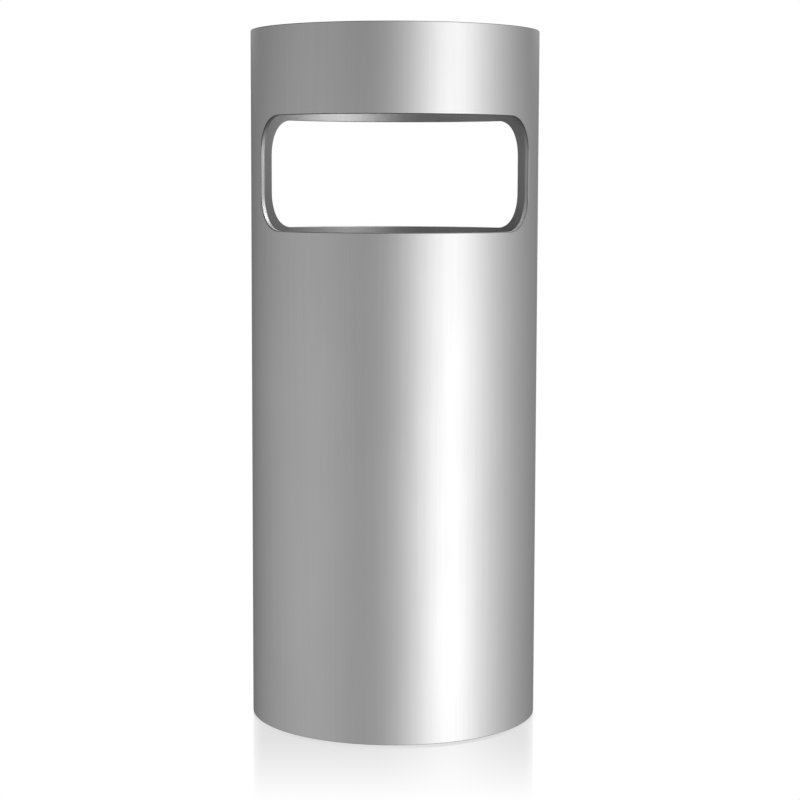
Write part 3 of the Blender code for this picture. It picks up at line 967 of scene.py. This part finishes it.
def make_mat():
    """A disc with rounded ring ribs and a flat middle."""
    top = mat_high.z - mat_low.z
    radius = mat_high.x
    outline = [
        (0.0, top, 0.0),
        (MAT_CENTRE_RADIUS, top, RIB_ROUNDING),
        (MAT_CENTRE_RADIUS, MAT_THICKNESS, RIB_FOOT_ROUNDING),
    ]
    start = MAT_CENTRE_RADIUS + RIB_PITCH - RIB_WIDTH
    while start + RIB_WIDTH < radius - RIB_WIDTH / 2:
        end = start + RIB_WIDTH
        outline += [
            (start, MAT_THICKNESS, RIB_FOOT_ROUNDING),
            (start, top, RIB_ROUNDING),
            (end, top, RIB_ROUNDING),
            (end, MAT_THICKNESS, RIB_FOOT_ROUNDING),
        ]
        start += RIB_PITCH
    outline += [(radius, MAT_THICKNESS, 0.0008), (radius, 0.0, 0.0005), (0.0, 0.0, 0.0)]
    points = [(reach, z + mat_low.z) for reach, z in rounded(outline)]
    mesh = turned_mesh("tip_mat", points, ROUND_STEPS)
    add_piece("tip_mat_fine", mesh, mat_rubber(), "mat", "tip_mat", 60.0)


# --------------------------------------------------------------------------------------
# Studio: camera, world and floor
# --------------------------------------------------------------------------------------
# What the metal mirrors round the stand: degrees to the right of the camera's side, and a
# level that STUDIO_STRENGTH multiplies
STUDIO_STRENGTH = 2.4
STUDIO_ROUND = (
    (-180, 0.07), (-160, 0.07), (-138, 0.13), (-105, 0.205), (-55, 0.265), (-20, 0.160),
    (2, 0.25), (24, 0.52), (46, 0.91), (66, 0.54), (88, 0.33), (115, 0.20), (150, 0.11), (180, 0.07),
)
# The same from straight down (-1) to straight up (1), by the sine of the elevation
STUDIO_HEIGHT = (
    (-1.0, 0.50), (-0.75, 0.60), (-0.35, 0.92), (-0.14, 1.0), (-0.04, 0.97),
    (0.06, 0.76), (0.2, 0.56), (0.5, 0.34), (1.0, 0.45),
)
KEY_AZIMUTH = 64.0         # soft light from the upper right, degrees
KEY_HEIGHT = 56.0
LIGHT_DISTANCE = 1.6
KEY_SIZE = 1.25
KEY_POWER = 31.0
TOP_POWER = 30.0           # of the overhead light, which the metal doesn't mirror
FADE_START = 0.026         # the floor's reflection fades out between these distances
FADE_END = 0.232
FLOOR_GLOSS = 0.45
GRAZING = (0.45, 0.68)     # facing factors between which the floor's gloss comes up
FLOOR_HALF_WIDTH = 20.0
WHITE_BEHIND = (0.75, 0.88)  # the metal also mirrors a white wall behind the stand, where
WHITE_ABOVE = (0.06, 0.12)   # the direction's y and z pass these


def make_camera():
    pitch = math.radians(CAMERA_PITCH)
    yaw = math.radians(CAMERA_YAW)
    flat = math.cos(pitch)
    forward = Vector((math.sin(yaw) * flat, math.cos(yaw) * flat, -math.sin(pitch)))
    right = Vector((math.cos(yaw), -math.sin(yaw), 0.0))
    up = right.cross(forward)
    level = Matrix((right, up, -forward)).transposed()
    roll = Matrix.Rotation(math.radians(CAMERA_ROLL), 3, "Z")
    turn = (level @ roll).to_4x4()
    camera_data = bpy.data.cameras.new("camera")
    camera_data.lens = CAMERA_LENS
    camera_data.sensor_width = 36.0
    camera_data.shift_y = CAMERA_SHIFT
    camera = bpy.data.objects.new("camera", camera_data)
    bpy.context.scene.collection.objects.link(camera)
    camera.matrix_world = Matrix.Translation((0.0, -CAMERA_DISTANCE, CAMERA_HEIGHT)) @ turn
    bpy.context.scene.camera = camera


def add_soft_light(name, azimuth, height, size, power):
    """A square light, aimed at the stand; angles in degrees, azimuth 0 on the camera's side."""
    light_data = bpy.data.lights.new(name, "AREA")
    light_data.size = size
    light_data.energy = power
    light = bpy.data.objects.new(name, light_data)
    bpy.context.scene.collection.objects.link(light)
    azimuth, height = math.radians(azimuth), math.radians(height)
    level = math.cos(height)
    towards = Vector((math.sin(azimuth) * level, -math.cos(azimuth) * level, math.sin(height)))
    light.location = towards * LIGHT_DISTANCE + Vector((0.0, 0.0, tube_high.z / 2))
    light.rotation_euler = towards.to_track_quat("Z", "Y").to_euler()
    return light


def make_lights():
    add_soft_light("key", KEY_AZIMUTH, KEY_HEIGHT, KEY_SIZE, KEY_POWER)
    overhead = add_soft_light("overhead", 0.0, 90.0, KEY_SIZE, TOP_POWER)
    overhead.visible_glossy = False


class Studio(Surface):
    """The node helpers above, on a world or an emission material's tree."""

    def __init__(self, tree):
        self.tree = tree

    def ramp(self, value, stops, low, high):
        """A smooth grey curve through (position, level) stops between low and high."""
        node = self.add("ShaderNodeValToRGB")
        node.color_ramp.interpolation = "B_SPLINE"
        elements = node.color_ramp.elements
        while len(elements) < len(stops):
            elements.new(0.5)
        for element, (place, level) in zip(elements, stops):
            element.position = (place - low) / (high - low)
            element.color = (level, level, level, 1.0)
        self.link(self.spread(value, low, high), node.inputs["Fac"])
        return node.outputs["Color"]


def make_world():
    """A white room: what the metal mirrors depends on the direction from the stand."""
    world = bpy.data.worlds.new("studio")
    world.use_nodes = True
    bpy.context.scene.world = world
    studio = Studio(world.node_tree)
    split = studio.add("ShaderNodeSeparateXYZ")
    studio.link(studio.add("ShaderNodeTexCoord").outputs["Generated"], split.inputs[0])
    x, y, z = split.outputs
    azimuth = studio.math("ARCTAN2", x, studio.math("MULTIPLY", y, -1.0))
    around = studio.ramp(studio.math("DEGREES", azimuth), STUDIO_ROUND, -180, 180)
    upward = studio.ramp(z, STUDIO_HEIGHT, -1.0, 1.0)
    level = studio.math("MULTIPLY", studio.math("MULTIPLY", around, upward), STUDIO_STRENGTH)
    # that wall is as white as the backdrop, because the floor's gloss mirrors it
    behind, above = studio.spread(y, *WHITE_BEHIND), studio.spread(z, *WHITE_ABOVE)
    white = studio.math("MULTIPLY", behind, above)
    level = studio.math("MULTIPLY", level, studio.math("SUBTRACT", 1.0, white))
    level = studio.math("ADD", level, white)
    room = world.node_tree.nodes["Background"]
    studio.link((1.0, 1.0, 1.0, 1.0), room.inputs["Color"])
    studio.link(level, room.inputs["Strength"])
    backdrop = studio.add("ShaderNodeBackground")
    studio.link((1.0, 1.0, 1.0, 1.0), backdrop.inputs["Color"])
    mix = studio.add("ShaderNodeMixShader")
    studio.link(studio.add("ShaderNodeLightPath").outputs["Is Camera Ray"], mix.inputs["Fac"])
    studio.link(room.outputs[0], mix.inputs[1])
    studio.link(backdrop.outputs[0], mix.inputs[2])
    studio.link(mix.outputs[0], world.node_tree.nodes["World Output"].inputs["Surface"])


def floor_material():
    """White, with a faint gloss at low angles near the stand's foot; see-through from below."""
    material = bpy.data.materials.new("floor")
    material.use_nodes = True
    material.node_tree.nodes.clear()
    studio = Studio(material.node_tree)
    split = studio.add("ShaderNodeSeparateXYZ")
    studio.link(studio.add("ShaderNodeTexCoord").outputs["Object"], split.inputs[0])
    fourth = [studio.square(studio.square(socket)) for socket in split.outputs[:2]]
    distance = studio.math("POWER", studio.math("ADD", *fourth), 0.25)
    grazing = studio.add("ShaderNodeLayerWeight").outputs["Facing"]
    share = studio.spread(distance, FADE_START, FADE_END, FLOOR_GLOSS, 0.0)
    share = studio.math("MULTIPLY", share, studio.spread(grazing, *GRAZING))
    white = studio.add("ShaderNodeEmission")
    gloss = studio.add("ShaderNodeBsdfGlossy")
    gloss.inputs["Roughness"].default_value = 0.02
    studio.link((1.0, 1.0, 1.0, 1.0), gloss.inputs["Color"])
    mix = studio.add("ShaderNodeMixShader")
    studio.link(share, mix.inputs["Fac"])
    studio.link(white.outputs[0], mix.inputs[1])
    studio.link(gloss.outputs[0], mix.inputs[2])
    seen_from_below = studio.add("ShaderNodeNewGeometry").outputs["Backfacing"]
    surface = studio.add("ShaderNodeMixShader")
    studio.link(seen_from_below, surface.inputs["Fac"])
    studio.link(mix.outputs[0], surface.inputs[1])
    studio.link(studio.add("ShaderNodeBsdfTransparent").outputs[0], surface.inputs[2])
    studio.link(surface.outputs[0], studio.add("ShaderNodeOutputMaterial").inputs["Surface"])
    return material


def make_floor():
    mesh = bpy.data.meshes.new("floor")
    floor = bpy.data.objects.new("floor", mesh)
    bpy.context.scene.collection.objects.link(floor)
    grid = bmesh.new()
    bmesh.ops.create_grid(grid, x_segments=1, y_segments=1, size=FLOOR_HALF_WIDTH)
    grid.to_mesh(mesh)
    grid.free()
    mesh.materials.append(floor_material())
    floor.visible_glossy = False


# --------------------------------------------------------------------------------------
# Assembly
# --------------------------------------------------------------------------------------
make_camera()
make_world()
make_lights()
make_floor()
make_tube()
zinc = zinc_steel()
make_base_plate(zinc)
make_lugs(zinc)
make_screws()
make_ballast()
make_feet()
make_tray()
make_mat()
bpy.context.scene.view_settings.view_transform = "Standard"
